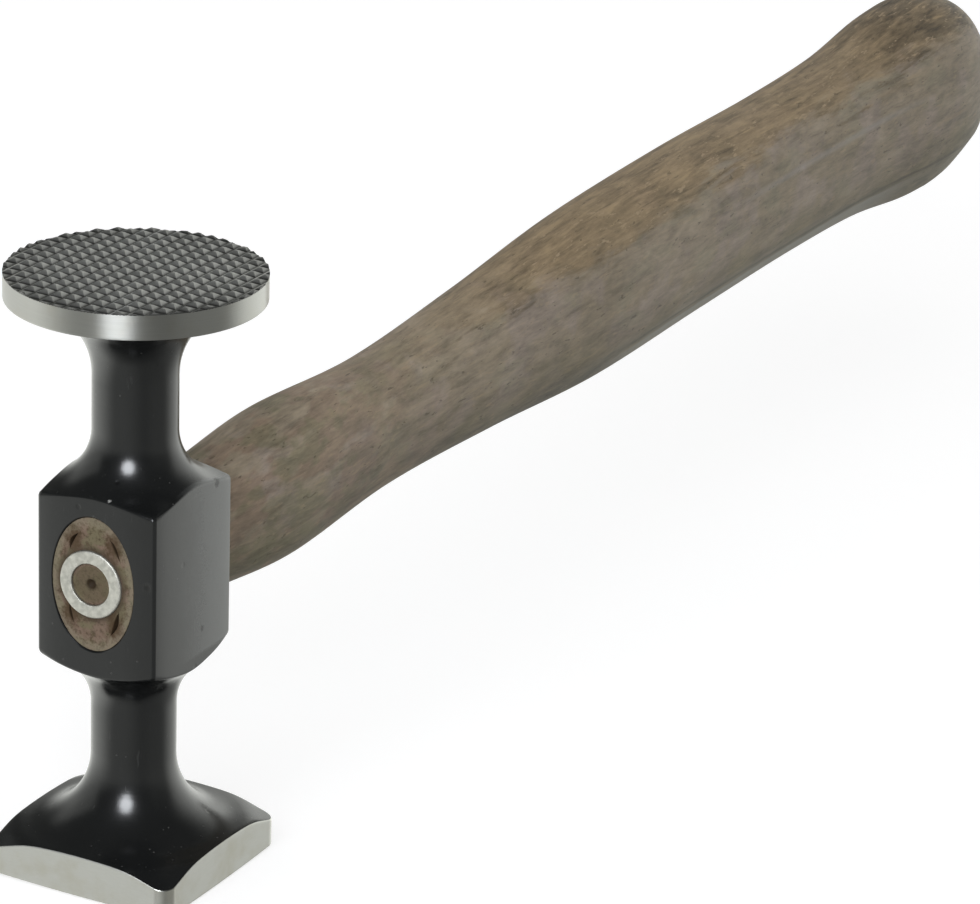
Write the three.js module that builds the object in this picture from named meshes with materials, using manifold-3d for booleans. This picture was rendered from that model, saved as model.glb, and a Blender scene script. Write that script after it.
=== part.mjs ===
// A body worker's hammer for dressing car panels: a forged steel head with a toothed round face and a
// crowned square face, on a hickory handle that a steel ring wedge holds in the eye.
// Millimetres, +Z up along the head, +X towards the grip, origin at the middle of the square face.
import * as THREE from "three";
import { mergeVertices } from "three/addons/utils/BufferGeometryUtils.js";
import Module from "manifold-3d";

const wasm = await Module();
wasm.setup();

// Head: heights above the square face
const headHeight = 97.8;
const eyeCentreHeight = 50.2;
const blockTopAboveEye = 12;
const blockBottomBelowEye = 13.4;

// Head: the two necks and the sweeps that join them to the faces and to the block
const neckDiameter = 13.3;
const faceSweepRadius = 12;
const shoulderSweepRadius = 9;
const shoulderSlope = 0.45;

// Head: the eye block and the oval eye, which is a little off the block's middle
const blockLength = 22.2;
const blockWidth = 20.9;
const blockCornerRadius = 0.9;
const eyeHeight = 21.8;
const eyeWidth = 14.6;
const eyeOffsetAcross = 0.4;
const eyeWaistShare = 0.94;

// Head: the round face and its teeth
const roundFaceDiameter = 40;
const rimThickness = 4.35;
const rimChamfer = 0.2;
const undersideSlope = 0.12;
const toothPitch = 2.37;
const toothDepth = 0.75;
const toothFlankSlope = 0.95;

// Head: the square face
const squareFaceSize = 33;
const squareCornerRadius = 2.6;
const squareSideHeight = 6.75;
const squareBackSlope = 0.33;
const crownRadius = 420;
const crownLandRadius = 7;

// Handle: places along it from the head's axis, and its height there
const swellPlace = 40;
const waistPlace = 72;
const gripStartPlace = 145;
const gripMiddlePlace = 188;
const gripEndPlace = 228;
const knobPlace = 290;
const buttPlace = 320;
const swellHeight = 25.7;
const waistHeight = 23;
const gripStartHeight = 31.2;
const gripHeight = 32.2;
const knobHeight = 39.6;
const gripRise = 1.5;
const buttDrop = 4.3;

// Handle: stations between those places, as shares of the way from one to the next and of the growth in height
const shoulderPlaceShare = 0.38;
const shoulderHeightShare = 0.48;
const flarePlaceShare = 0.49;
const flareHeightShare = 0.38;
const knobStartPlaceShare = 0.48;
const knobStartHeightShare = 0.24;
const knobFlarePlaceShare = 0.84;
const knobFlareHeightShare = 0.88;

// Handle: its section is an oval with slightly flattened sides
const sectionWidthShare = 0.65;
const sectionRoundness = 2.3;
const eyeRoundness = 2;
const buttRoundness = 2.28;
const tenonRecess = 0.2;
const centreMarkDiameter = 1.7;
const centreMarkDepth = 1.2;

// Ring wedge: a tapered tube in the tenon's end grain, a little off the eye's middle
const wedgeDiameter = 10.9;
const wedgeEndDiameter = 9.9;
const wedgeBore = 6.7;
const wedgeLength = 15;
const wedgeProud = 0.3;
const wedgeEdgeRadius = 0.35;
const wedgeOffsetAcross = 0.5;
const wedgeOffsetUp = 0.2;

// Clearance between pieces that touch, overrun of cuts past a surface, and the weld of a mesh's seams
const fitClearance = 0.25;
const overrun = 2;
const weldDistance = 0.0005;

// Facets of the round forms
const turnedFacets = 64;
const sectionFacets = 40;
const arcSteps = 8;
const gripSteps = 34;
const buttSteps = 7;
const eyeSteps = 4;
const cornerSegments = 5;

const neckRadius = neckDiameter / 2;
const roundFaceRadius = roundFaceDiameter / 2;
const squareHalf = squareFaceSize / 2;
const blockHalfLength = blockLength / 2;
const blockHalfWidth = blockWidth / 2;
const rimBottom = headHeight - rimThickness;

function solidOf(geometry) {
  const bare = geometry.clone();
  bare.deleteAttribute("normal");
  bare.deleteAttribute("uv");
  const merged = mergeVertices(bare, weldDistance);
  return new wasm.Manifold(
    new wasm.Mesh({
      numProp: 3,
      vertProperties: merged.attributes.position.array,
      triVerts: new Uint32Array(merged.index.array),
    }),
  );
}

function geometryOf(solid) {
  const mesh = solid.getMesh();
  const geometry = new THREE.BufferGeometry();
  geometry.setAttribute("position", new THREE.BufferAttribute(mesh.vertProperties, 3));
  geometry.setIndex(new THREE.BufferAttribute(mesh.triVerts, 1));
  geometry.computeVertexNormals();
  return geometry;
}

// A profile of (radius, height) points turned about the +Z axis
function turned(profile) {
  return solidOf(new THREE.LatheGeometry(profile, turnedFacets).rotateX(Math.PI / 2));
}

// A rectangle with rounded corners, raised from one height to another
function prism(halfX, halfY, cornerRadius, bottom, top) {
  const innerX = halfX - cornerRadius;
  const innerY = halfY - cornerRadius;
  const outline = new THREE.Shape();
  outline.absarc(innerX, innerY, cornerRadius, 0, Math.PI / 2);
  outline.absarc(-innerX, innerY, cornerRadius, Math.PI / 2, Math.PI);
  outline.absarc(-innerX, -innerY, cornerRadius, Math.PI, 1.5 * Math.PI);
  outline.absarc(innerX, -innerY, cornerRadius, 1.5 * Math.PI, 2 * Math.PI);
  outline.closePath();
  const settings = { depth: top - bottom, bevelEnabled: false, curveSegments: cornerSegments };
  return solidOf(new THREE.ExtrudeGeometry(outline, settings).translate(0, 0, bottom));
}

// Oval sections joined into one closed skin, with a point in the middle of each end
function lofted(sections) {
  const positions = [];
  const triangles = [];
  for (const { place, shift, rise, halfHeight, halfWidth, roundness } of sections) {
    for (let i = 0; i < sectionFacets; i += 1) {
      const angle = (2 * Math.PI * i) / sectionFacets;
      const across = Math.sign(Math.cos(angle)) * Math.abs(Math.cos(angle)) ** (2 / roundness);
      const up = Math.sign(Math.sin(angle)) * Math.abs(Math.sin(angle)) ** (2 / roundness);
      positions.push(place, shift + halfWidth * across, rise + halfHeight * up);
    }
  }
  for (let s = 0; s + 1 < sections.length; s += 1) {
    for (let i = 0; i < sectionFacets; i += 1) {
      const next = (i + 1) % sectionFacets;
      const a = s * sectionFacets + i;
      const b = s * sectionFacets + next;
      const c = a + sectionFacets;
      const d = b + sectionFacets;
      triangles.push(a, b, d, a, d, c);
    }
  }
  const last = sections.length - 1;
  const frontPoint = positions.length / 3;
  positions.push(sections[0].place, sections[0].shift, sections[0].rise);
  positions.push(sections[last].tip ?? sections[last].place, sections[last].shift, sections[last].rise);
  for (let i = 0; i < sectionFacets; i += 1) {
    const next = (i + 1) % sectionFacets;
    triangles.push(frontPoint, next, i);
    triangles.push(frontPoint + 1, last * sectionFacets + i, last * sectionFacets + next);
  }
  const geometry = new THREE.BufferGeometry();
  geometry.setAttribute("position", new THREE.Float32BufferAttribute(positions, 3));
  geometry.setIndex(triangles);
  return solidOf(geometry);
}

// A concave sweep from the neck to a cone of the given slope. The cone passes through (coneRadius, coneHeight)
// and falls away from the neck in the direction of away, +1 for up and -1 for down.
// The points run outwards, from the neck's wall to the cone.
function sweepPoints(sweepRadius, slope, coneRadius, coneHeight, away) {
  const turn = Math.atan2(1, slope);
  const endRadius = neckRadius + sweepRadius * (1 - Math.cos(turn));
  const endHeight = coneHeight - away * slope * (coneRadius - endRadius);
  const startHeight = endHeight - away * sweepRadius * Math.sin(turn);
  const points = [];
  for (let i = 0; i <= arcSteps; i += 1) {
    const angle = (turn * i) / arcSteps;
    const radius = neckRadius + sweepRadius * (1 - Math.cos(angle));
    points.push(new THREE.Vector2(radius, startHeight + away * sweepRadius * Math.sin(angle)));
  }
  return points;
}

function crownHeight(radius) {
  return (radius ** 2 - crownLandRadius ** 2) / (2 * crownRadius);
}

// Forged and turned head: the turned body is made first, and its foot and block are then squared
function makeHead() {
  const footRadius = Math.hypot(squareHalf, squareHalf) + overrun;
  const footBackHeight = squareSideHeight - squareBackSlope * (footRadius - squareHalf);
  const blockCorner = Math.hypot(blockHalfLength, blockHalfWidth);
  const blockRadius = blockCorner + overrun;
  const blockTop = eyeCentreHeight + blockTopAboveEye;
  const blockBottom = eyeCentreHeight - blockBottomBelowEye;
  const blockReach = shoulderSlope * overrun;

  const profile = [new THREE.Vector2(0, 0), new THREE.Vector2(crownLandRadius, 0)];
  for (let i = 1; i <= arcSteps; i += 1) {
    const radius = crownLandRadius + ((footRadius - crownLandRadius) * i) / arcSteps;
    profile.push(new THREE.Vector2(radius, crownHeight(radius)));
  }
  profile.push(new THREE.Vector2(footRadius, footBackHeight));
  const foot = sweepPoints(faceSweepRadius, squareBackSlope, squareHalf, squareSideHeight, -1);
  const lowerShoulder = sweepPoints(shoulderSweepRadius, shoulderSlope, blockCorner, blockBottom, 1);
  const upperShoulder = sweepPoints(shoulderSweepRadius, shoulderSlope, blockCorner, blockTop, -1);
  const underside = sweepPoints(faceSweepRadius, undersideSlope, roundFaceRadius - rimChamfer, rimBottom, 1);
  profile.push(...foot.reverse(), ...lowerShoulder);
  profile.push(new THREE.Vector2(blockRadius, blockBottom + blockReach));
  profile.push(new THREE.Vector2(blockRadius, blockTop - blockReach));
  profile.push(...upperShoulder.reverse(), ...underside);
  profile.push(new THREE.Vector2(roundFaceRadius - rimChamfer, rimBottom));
  profile.push(new THREE.Vector2(roundFaceRadius, rimBottom + rimChamfer));
  profile.push(new THREE.Vector2(roundFaceRadius, headHeight));
  profile.push(new THREE.Vector2(0, headHeight));

  const lowerNeckMiddle = (foot[0].y + lowerShoulder[0].y) / 2;
  const upperNeckMiddle = (blockTop + rimBottom) / 2;
  const squared = prism(squareHalf, squareHalf, squareCornerRadius, -overrun, lowerNeckMiddle)
    .add(
      prism(
        blockHalfLength,
        blockHalfWidth,
        blockCornerRadius,
        lowerNeckMiddle - overrun,
        upperNeckMiddle,
      ),
    )
    .add(
      prism(
        roundFaceRadius + overrun,
        roundFaceRadius + overrun,
        squareCornerRadius,
        upperNeckMiddle - overrun,
        headHeight + overrun,
      ),
    );
  return turned(profile).intersect(squared).subtract(makeEye()).subtract(makeGrooves());
}

// Half the eye's height or width at a place along it: it narrows to a waist in the middle of the block
function eyeHalfAt(size, place) {
  return (size / 2) * (eyeWaistShare + (1 - eyeWaistShare) * (place / blockHalfLength) ** 2);
}

function eyeSection(place, clearance) {
  return {
    place,
    shift: eyeOffsetAcross,
    rise: eyeCentreHeight,
    halfHeight: eyeHalfAt(eyeHeight, place) - clearance,
    halfWidth: eyeHalfAt(eyeWidth, place) - clearance,
    roundness: eyeRoundness,
  };
}

function makeEye() {
  const cutHalf = blockHalfLength + overrun;
  const sections = [];
  for (let i = 0; i <= eyeSteps; i += 1) {
    sections.push(eyeSection(-cutHalf + (2 * cutHalf * i) / eyeSteps, 0));
  }
  return lofted(sections);
}

// Two crossed sets of V grooves that leave the pyramid teeth standing
function makeGrooves() {
  const halfWidth = (toothDepth + overrun) * toothFlankSlope;
  const groove = new THREE.Shape([
    new THREE.Vector2(-halfWidth, overrun),
    new THREE.Vector2(0, -toothDepth),
    new THREE.Vector2(halfWidth, overrun),
  ]);
  const length = roundFaceDiameter + overrun;
  const along = new THREE.ExtrudeGeometry(groove, { depth: length, bevelEnabled: false });
  along.translate(0, 0, -length / 2).rotateX(Math.PI / 2);
  const count = Math.floor(roundFaceRadius / toothPitch + 0.5);
  let cuts = null;
  for (let i = -count; i < count; i += 1) {
    const offset = (i + 0.5) * toothPitch;
    const lengthwise = solidOf(along.clone().translate(offset, 0, headHeight));
    const crosswise = solidOf(along.clone().rotateZ(Math.PI / 2).translate(0, offset, headHeight));
    const pair = lengthwise.add(crosswise);
    cuts = cuts ? cuts.add(pair) : pair;
  }
  return cuts;
}

// A turned form laid along +X about the ring wedge's axis, its profile in (radius, place) points
function turnedInTenon(profile) {
  const geometry = new THREE.LatheGeometry(profile, turnedFacets);
  geometry.rotateZ(-Math.PI / 2);
  geometry.translate(0, eyeOffsetAcross + wedgeOffsetAcross, eyeCentreHeight + wedgeOffsetUp);
  return solidOf(geometry);
}

// Tapered steel tube, its struck end a little proud of the block
function makeRingWedge() {
  const front = -blockHalfLength - wedgeProud;
  const back = front + wedgeLength;
  const bore = wedgeBore / 2;
  const outer = wedgeDiameter / 2;
  return turnedInTenon([
    new THREE.Vector2(bore, front),
    new THREE.Vector2(outer - wedgeEdgeRadius, front),
    new THREE.Vector2(outer, front + wedgeEdgeRadius),
    new THREE.Vector2(wedgeEndDiameter / 2, back),
    new THREE.Vector2(bore, back),
    new THREE.Vector2(bore, front),
  ]);
}

// The slot that the ring wedge cuts for itself, open at the tenon's end
function makeWedgeSlot() {
  const front = -blockHalfLength - overrun;
  const back = wedgeLength - blockHalfLength - wedgeProud + fitClearance;
  const bore = wedgeBore / 2 - fitClearance;
  return turnedInTenon([
    new THREE.Vector2(bore, front),
    new THREE.Vector2(wedgeDiameter / 2 + fitClearance, front),
    new THREE.Vector2(wedgeEndDiameter / 2 + fitClearance, back),
    new THREE.Vector2(bore, back),
    new THREE.Vector2(bore, front),
  ]);
}

function makeCentreMark() {
  const face = tenonRecess - blockHalfLength;
  const slope = centreMarkDiameter / 2 / centreMarkDepth;
  return turnedInTenon([
    new THREE.Vector2(0, face - overrun),
    new THREE.Vector2(slope * (centreMarkDepth + overrun), face - overrun),
    new THREE.Vector2(0, face + centreMarkDepth),
  ]);
}

// A station part of the way between two others: shares of the way along, up in height and up in rise
function between(from, to, placeShare, heightShare) {
  return {
    place: from.place + (to.place - from.place) * placeShare,
    height: from.height + (to.height - from.height) * heightShare,
    rise: from.rise + (to.rise - from.rise) * placeShare,
  };
}

// Hickory handle: an oval tenon, then a swell, a waist, a long grip and a rounded knob
function makeHandle() {
  const root = { place: blockHalfLength, height: eyeHeight - 2 * fitClearance, rise: 0 };
  const swell = { place: swellPlace, height: swellHeight, rise: 0 };
  const waist = { place: waistPlace, height: waistHeight, rise: 0 };
  const gripStart = { place: gripStartPlace, height: gripStartHeight, rise: gripRise / 2 };
  const gripMiddle = { place: gripMiddlePlace, height: gripHeight, rise: gripRise };
  const gripEnd = { place: gripEndPlace, height: gripHeight, rise: gripRise };
  const knob = { place: knobPlace, height: knobHeight, rise: gripRise };
  const stations = [
    root,
    between(root, swell, shoulderPlaceShare, shoulderHeightShare),
    swell,
    waist,
    between(waist, gripStart, flarePlaceShare, flareHeightShare),
    gripStart,
    gripMiddle,
    gripEnd,
    between(gripEnd, knob, knobStartPlaceShare, knobStartHeightShare),
    between(gripEnd, knob, knobFlarePlaceShare, knobFlareHeightShare),
    knob,
  ];
  const outline = new THREE.CatmullRomCurve3(
    stations.map(({ place, height, rise }) => new THREE.Vector3(place, rise, height / 2)),
  );

  const sections = [eyeSection(tenonRecess - blockHalfLength, fitClearance)];
  for (let i = 1; i < eyeSteps; i += 1) {
    sections.push(eyeSection(-blockHalfLength + (blockLength * i) / eyeSteps, fitClearance));
  }
  for (const point of outline.getPoints(gripSteps)) {
    const behindHead = (point.x - blockHalfLength) / (swellPlace - blockHalfLength);
    const flattening = THREE.MathUtils.smoothstep(behindHead, 0, 1);
    sections.push({
      place: point.x,
      shift: eyeOffsetAcross * (1 - flattening),
      rise: eyeCentreHeight + point.y,
      halfHeight: point.z,
      halfWidth: point.z * sectionWidthShare,
      roundness: THREE.MathUtils.lerp(eyeRoundness, sectionRoundness, flattening),
    });
  }
  for (let i = 1; i < buttSteps; i += 1) {
    const angle = ((Math.PI / 2) * i) / buttSteps;
    const halfHeight = (knobHeight / 2) * Math.cos(angle) ** (2 / buttRoundness);
    sections.push({
      place: knobPlace + (buttPlace - knobPlace) * Math.sin(angle) ** (2 / buttRoundness),
      shift: 0,
      rise: eyeCentreHeight + gripRise - buttDrop * Math.sin(angle) ** 2,
      halfHeight,
      halfWidth: halfHeight * sectionWidthShare,
      roundness: sectionRoundness,
      tip: buttPlace,
    });
  }
  return lofted(sections).subtract(makeWedgeSlot()).subtract(makeCentreMark());
}

const blackLacquer = new THREE.MeshStandardMaterial({ color: 0x26282a, roughness: 0.25, metalness: 0.3 });
const brightSteel = new THREE.MeshStandardMaterial({ color: 0xc2c3bb, roughness: 0.4, metalness: 0.9 });
const stainedHickory = new THREE.MeshStandardMaterial({ color: 0x73695a, roughness: 0.5, metalness: 0 });

function piece(name, solid, material) {
  const mesh = new THREE.Mesh(geometryOf(solid), material);
  mesh.name = name;
  return mesh;
}

const hammer = new THREE.Group();
hammer.add(
  piece("head", makeHead(), blackLacquer),
  piece("handle", makeHandle(), stainedHickory),
  piece("ring_wedge", makeRingWedge(), brightSteel),
);

export default hammer;
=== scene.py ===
import math

import bmesh
import bpy
import numpy as np
from mathutils import Matrix, Vector


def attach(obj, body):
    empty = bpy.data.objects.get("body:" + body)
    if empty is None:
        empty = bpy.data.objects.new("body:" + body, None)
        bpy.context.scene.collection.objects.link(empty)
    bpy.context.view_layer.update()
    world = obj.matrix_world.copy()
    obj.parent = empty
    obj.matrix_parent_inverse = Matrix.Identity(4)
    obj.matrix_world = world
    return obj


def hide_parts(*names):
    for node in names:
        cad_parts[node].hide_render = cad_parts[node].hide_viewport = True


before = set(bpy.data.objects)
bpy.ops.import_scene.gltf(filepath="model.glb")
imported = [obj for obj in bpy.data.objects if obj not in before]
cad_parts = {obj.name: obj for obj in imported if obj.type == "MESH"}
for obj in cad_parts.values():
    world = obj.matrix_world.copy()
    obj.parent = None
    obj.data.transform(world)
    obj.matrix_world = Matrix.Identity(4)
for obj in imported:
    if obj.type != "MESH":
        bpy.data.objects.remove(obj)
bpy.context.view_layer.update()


# The head: one steel forging, turned between centres and then squared at its foot and at its eye block.
# It is dipped in black lacquer, and its rim, its square sides and its two faces are ground bare afterwards.
# Sizes are in millimetres, and heights are counted from the middle of the square face.
METRE = 1000.0
head_height = 97.8
eye_centre_height = 50.2
block_top = 63.1
block_bottom = 36.8
neck_radius = 6.65
face_sweep = 12.0
shoulder_sweep = 9.0
shoulder_slope = 0.45
upper_slope = 0.22
block_half = (11.1, 10.45)
block_corner = 0.55
block_crown = 0.35
block_edge = 0.3
block_tip_rounding = 0.5
block_tip_spread = math.radians(9.0)
round_face_radius = 20.0
rim_thickness = 4.6
rim_edge = 0.2
underside_slope = 0.12
tooth_depth = 0.65
square_half = 16.5
square_corner = 2.6
square_side_height = 6.75
square_back_slope = 0.33
square_edge = 0.22
back_swell = 0.5
back_swell_reach = 18.5
back_swell_spread = 2.3
crown_radius = 420.0
crown_land = 7.0
eye_half_height = 10.9
eye_half_width = 7.3
eye_shift = 0.4
eye_waist_share = 0.94
eye_flare = 0.18

LACQUER = 0
TURNED_STEEL = 1
GROUND_STEEL = 2
azimuth_count = 440
corner_crowding = 5.0
corner_spread = math.radians(4.5)
face_shares = (0, 0.06, 0.16, 0.28, 0.4, 0.52, 0.64, 0.76, 0.86, 0.93)
back_rows = 26
shoulder_rows = 18
under_rows = 22


def crowded_azimuths():
    """Directions round the head's axis, set closer where the block and the foot have their corners."""
    fine = np.linspace(0, 2 * math.pi, 14401)
    density = np.ones_like(fine)
    block_diagonal = math.atan2(block_half[1], block_half[0])
    for turn in (0, math.pi):
        for side in (-1, 1):
            for diagonal in (block_diagonal, math.pi / 4):
                away = np.abs((fine - turn - side * diagonal + math.pi) % (2 * math.pi) - math.pi)
                density += corner_crowding * np.exp(-((away / corner_spread) ** 2))
    reached = np.concatenate([[0], np.cumsum((density[1:] + density[:-1]) / 2)])
    shares = np.arange(azimuth_count) / azimuth_count
    return np.interp(shares * reached[-1], reached, fine)


azimuths = crowded_azimuths()


def rounded_reach(half_x, half_y, corner, crown=0.0):
    """How far a rounded rectangle reaches from the axis in each direction, with slightly crowned sides."""
    cosine = np.abs(np.cos(azimuths))
    sine = np.abs(np.sin(azimuths))
    to_x = half_x / np.maximum(cosine, 1e-9)
    to_y = half_y / np.maximum(sine, 1e-9)
    reach = np.minimum(to_x, to_y)
    along_x = reach * cosine
    along_y = reach * sine
    on_x_side = to_x < to_y
    swell = np.where(on_x_side, 1 - (along_y / half_y) ** 4, 1 - (along_x / half_x) ** 4)
    middle = np.array([half_x - corner, half_y - corner])
    in_corner = (along_x > middle[0]) & (along_y > middle[1])
    dot = cosine * middle[0] + sine * middle[1]
    rounded = dot + np.sqrt(np.maximum(dot**2 - middle @ middle + corner**2, 0))
    facing = np.where(on_x_side, cosine, sine)
    return np.where(in_corner, rounded, reach) + crown * swell / facing


class Sweep:
    """The concave sweep from a neck to a face or shoulder, and the cone that it runs into."""

    def __init__(self, radius, slope, cone_radius, cone_height, away):
        self.radius = radius
        self.away = away
        self.slope = slope
        self.turn = math.atan2(1, slope)
        self.end_radius = neck_radius + radius * (1 - math.cos(self.turn))
        self.end_height = cone_height - away * slope * (cone_radius - self.end_radius)
        self.start_height = self.end_height - away * radius * math.sin(self.turn)

    def length_to(self, reach):
        """The length along the sweep from the neck's wall out to a distance from the axis."""
        turned = np.arccos(np.clip(1 - (reach - neck_radius) / self.radius, -1, 1))
        past = self.radius * self.turn + (reach - self.end_radius) * math.hypot(1, self.slope)
        return np.where(reach < self.end_radius, self.radius * turned, past)

    def at(self, length):
        """Distance from the axis and height at a length along the sweep."""
        turned = np.minimum(length / self.radius, self.turn)
        past = np.maximum(length - self.radius * self.turn, 0) / math.hypot(1, self.slope)
        reach = neck_radius + self.radius * (1 - np.cos(turned)) + past
        height = self.start_height + self.away * (self.radius * np.sin(turned) + self.slope * past)
        return np.stack([reach, height], -1)


def rounded_edge(before, corner, after, steps):
    """Points that turn an edge from one surface to the next, for all directions at once."""
    shares = np.linspace(0, 1, steps + 1)[:, None, None]
    return (1 - shares) ** 2 * before + 2 * shares * (1 - shares) * corner + shares**2 * after


def head_rows():
    """Rows of (distance, height) points from the square face's middle to the round face, with their finishes."""
    blank = np.ones(azimuth_count)
    foot_reach = rounded_reach(square_half, square_half, square_corner)
    block_reach = rounded_reach(*block_half, block_corner, block_crown)
    block_diagonal = math.hypot(*block_half)
    corner_way = math.atan2(block_half[1], block_half[0])
    folded = np.abs((azimuths + math.pi / 2) % math.pi - math.pi / 2)
    edge_size = block_edge + block_tip_rounding * np.exp(-(((folded - corner_way) / block_tip_spread) ** 2))
    foot = Sweep(face_sweep, square_back_slope, square_half, square_side_height, -1)
    lower = Sweep(shoulder_sweep, shoulder_slope, block_diagonal, block_bottom, 1)
    upper = Sweep(shoulder_sweep, upper_slope, block_diagonal, block_top, -1)
    rim_bottom = head_height - rim_thickness
    rim_inner = round_face_radius - rim_edge
    under = Sweep(face_sweep, underside_slope, rim_inner, rim_bottom, 1)
    rows = []
    finishes = []

    def back(length):
        """The square face's back: the neck's sweep and a cone that swells a little towards the sides."""
        points = foot.at(length)
        points[:, 1] += back_swell * np.exp(-(((points[:, 0] - back_swell_reach) / back_swell_spread) ** 2))
        return points

    def add(points, finish):
        for row in points:
            rows.append(row)
            finishes.append(finish)

    def side(bottom, top, steps, finish):
        """A straight run between two rows, crowded at both ends so that its shading stays flat."""
        shares = (1 - np.cos(np.linspace(0, math.pi, steps + 1)[1:-1])) / 2
        add([bottom * (1 - share) + top * share for share in shares], finish)

    def pair(reach, height):
        return np.stack([reach * blank, height * blank], -1)

    def crown(reach):
        return np.maximum(reach**2 - crown_land**2, 0) / (2 * crown_radius)

    # The square face, its ground sides and its lacquered back
    add([pair(foot_reach * share, crown(foot_reach * share)) for share in face_shares], GROUND_STEEL)
    inner = foot_reach - square_edge
    edge = rounded_edge(
        pair(inner, crown(inner)),
        pair(foot_reach, crown(foot_reach)),
        pair(foot_reach, crown(foot_reach) + square_edge),
        4,
    )
    add(edge, GROUND_STEEL)
    back_height = back(foot.length_to(foot_reach))[:, 1]
    back_inner = back(foot.length_to(inner))
    edge_top = rounded_edge(
        pair(foot_reach, back_height - square_edge), pair(foot_reach, back_height), back_inner, 4
    )
    side(edge[-1], edge_top[0], 8, GROUND_STEEL)
    add(edge_top[:3], GROUND_STEEL)
    add(edge_top[3:], LACQUER)
    back_shares = np.linspace(1, 0, back_rows + 1)[1:]
    add([back(foot.length_to(inner) * share) for share in back_shares], LACQUER)

    # The lower neck, the block with its shoulders, and the upper neck
    side(pair(neck_radius, foot.start_height), pair(neck_radius, lower.start_height), 7, LACQUER)
    inner = block_reach - edge_size
    shoulder_shares = np.linspace(0, 1, shoulder_rows + 1)[:-1]
    add([lower.at(lower.length_to(inner) * share) for share in shoulder_shares], LACQUER)
    low = lower.at(lower.length_to(block_reach))[:, 1]
    high = upper.at(upper.length_to(block_reach))[:, 1]
    low_edge = rounded_edge(
        lower.at(lower.length_to(inner)), pair(block_reach, low), pair(block_reach, low + edge_size), 6
    )
    high_edge = rounded_edge(
        pair(block_reach, high - edge_size), pair(block_reach, high), upper.at(upper.length_to(inner)), 6
    )
    add(low_edge, LACQUER)
    side(low_edge[-1], high_edge[0], 16, LACQUER)
    add(high_edge, LACQUER)
    shoulder_shares = np.linspace(1, 0, shoulder_rows + 1)[1:]
    add([upper.at(upper.length_to(inner) * share) for share in shoulder_shares], LACQUER)
    side(pair(neck_radius, upper.start_height), pair(neck_radius, under.start_height), 7, LACQUER)

    # The round face's back, its rim and the flat that its teeth stand on
    for share in np.linspace(0, 1, under_rows + 1):
        add([under.at(under.length_to(rim_inner) * share) * blank[:, None]], LACQUER)
    rim_low = rounded_edge(
        under.at(under.length_to(rim_inner)) * blank[:, None],
        pair(round_face_radius, rim_bottom),
        pair(round_face_radius, rim_bottom + rim_edge),
        3,
    )
    add(rim_low[1:], TURNED_STEEL)
    tooth_root = head_height - tooth_depth
    rim_top = pair(round_face_radius, tooth_root)
    side(rim_low[-1], rim_top, 6, TURNED_STEEL)
    for share in (1, 0.97, 0.8, 0.5, 0.2, 0):
        add([pair(round_face_radius * share, tooth_root)], TURNED_STEEL)
    return np.array(rows), finishes


def ring_quads(rows, around, closed=False):
    """Quads over rows of points that run round an axis, and from the last row to the first where closed."""
    index = np.arange(rows * around).reshape(rows, around)
    if closed:
        index = np.concatenate([index, index[:1]])
    after = np.roll(index, -1, axis=1)
    return np.stack([index[:-1], after[:-1], after[1:], index[1:]], -1).reshape(-1, 4).tolist()


def mesh_of(name, places, faces):
    """A mesh of faces over places in millimetres."""
    mesh = bpy.data.meshes.new(name)
    mesh.from_pydata((places.reshape(-1, 3) / METRE).tolist(), [], faces)
    return mesh


def mended(mesh, merge=0.0, slivers=False, outward=False):
    """Merges points that lie within a distance in millimetres, clears slivers, or turns the faces outwards."""
    made = bmesh.new()
    made.from_mesh(mesh)
    if merge:
        bmesh.ops.remove_doubles(made, verts=made.verts, dist=merge / METRE)
    if slivers:
        bmesh.ops.dissolve_degenerate(made, edges=made.edges, dist=merge / METRE)
    if outward:
        bmesh.ops.recalc_face_normals(made, faces=made.faces)
    made.to_mesh(mesh)
    made.free()
    return mesh


def mesh_of_rows(name, rows, finishes):
    """A closed skin of quads over rows that run round the head's axis."""
    places = np.empty((len(rows), azimuth_count, 3))
    places[..., 0] = rows[..., 0] * np.cos(azimuths)
    places[..., 1] = rows[..., 0] * np.sin(azimuths)
    places[..., 2] = rows[..., 1]
    mesh = mesh_of(name, places, ring_quads(len(rows), azimuth_count))
    finish_of = np.repeat(np.array(finishes[:-1]), azimuth_count)
    mesh.polygons.foreach_set("material_index", finish_of.astype(np.int32))
    return mended(mesh, merge=0.0001)


def piece_from(name, mesh):
    piece = bpy.data.objects.new(name, mesh)
    bpy.context.scene.collection.objects.link(piece)
    return piece


def plain_mesh(piece):
    """Gives a piece the mesh that its modifiers make, and takes the modifiers off."""
    evaluated = piece.evaluated_get(bpy.context.evaluated_depsgraph_get())
    mesh = bpy.data.meshes.new_from_object(evaluated)
    piece.modifiers.clear()
    piece.data = mesh


def cut_away(piece, cutter):
    """Takes the cutter's solid out of the piece and removes the cutter."""
    cut = piece.modifiers.new("cut", "BOOLEAN")
    cut.operation = "DIFFERENCE"
    cut.solver = "EXACT"
    cut.object = cutter
    plain_mesh(piece)
    bpy.data.objects.remove(cutter)


def smooth_with_edges(piece, angle):
    """Smooth shading with sharp edges where faces meet at more than an angle."""
    mesh = piece.data
    mesh.polygons.foreach_set("use_smooth", np.ones(len(mesh.polygons), bool))
    mesh.set_sharp_from_angle(angle=angle)


def eye_scale(place):
    """The share of its mouth's size that the eye has at a place along it: it narrows to a waist."""
    return eye_waist_share + (1 - eye_waist_share) * (place / block_half[0]) ** 2


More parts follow.
